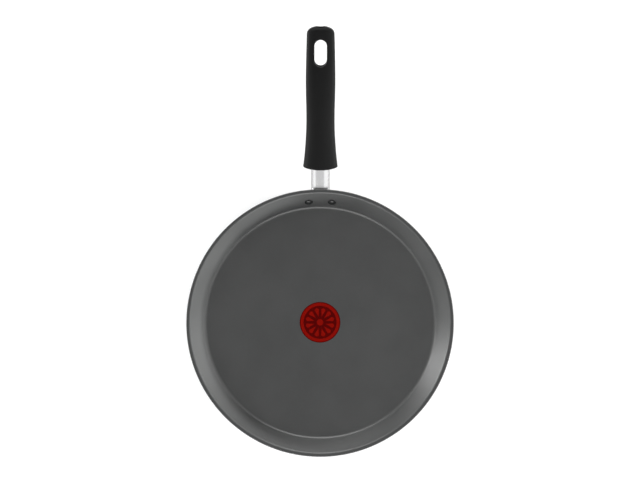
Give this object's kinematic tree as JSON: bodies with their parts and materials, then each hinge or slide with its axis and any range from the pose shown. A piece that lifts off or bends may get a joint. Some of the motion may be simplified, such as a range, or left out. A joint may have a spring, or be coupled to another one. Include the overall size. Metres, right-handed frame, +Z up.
{
  "type": "crepe pan",
  "caption": "Low nonstick crepe and frying pan with a flared wall, a metal neck and a black moulded handle with a hanging slot.",
  "frame": {"origin": "middle of the underside of the induction disc, the face the pan stands on", "axes": "+Z up out of the pan, +Y along the handle in plan, +X to the right seen from above with the handle at the top"},
  "size_m": [0.254, 0.4062, 0.052],
  "materials": {
    "pan_metal": "satin",
    "coating": "satin",
    "indicator": "satin",
    "base_steel": "satin",
    "cast_metal": "satin",
    "rivets": "satin",
    "neck_steel": "polished",
    "grip": "satin",
    "fasteners": "satin"
  },
  "bodies": {
    "root": {"pan_body": "pan_metal", "nonstick_coating": "coating", "heat_indicator": "indicator", "induction_disc": "base_steel", "handle_bracket": "cast_metal", "rivet_left": "rivets", "rivet_right": "rivets", "flame_guard": "neck_steel", "handle_grip": "grip", "handle_screw": "fasteners", "flat_washer": "fasteners", "spring_washer": "fasteners"}
  },
  "joints": []
}
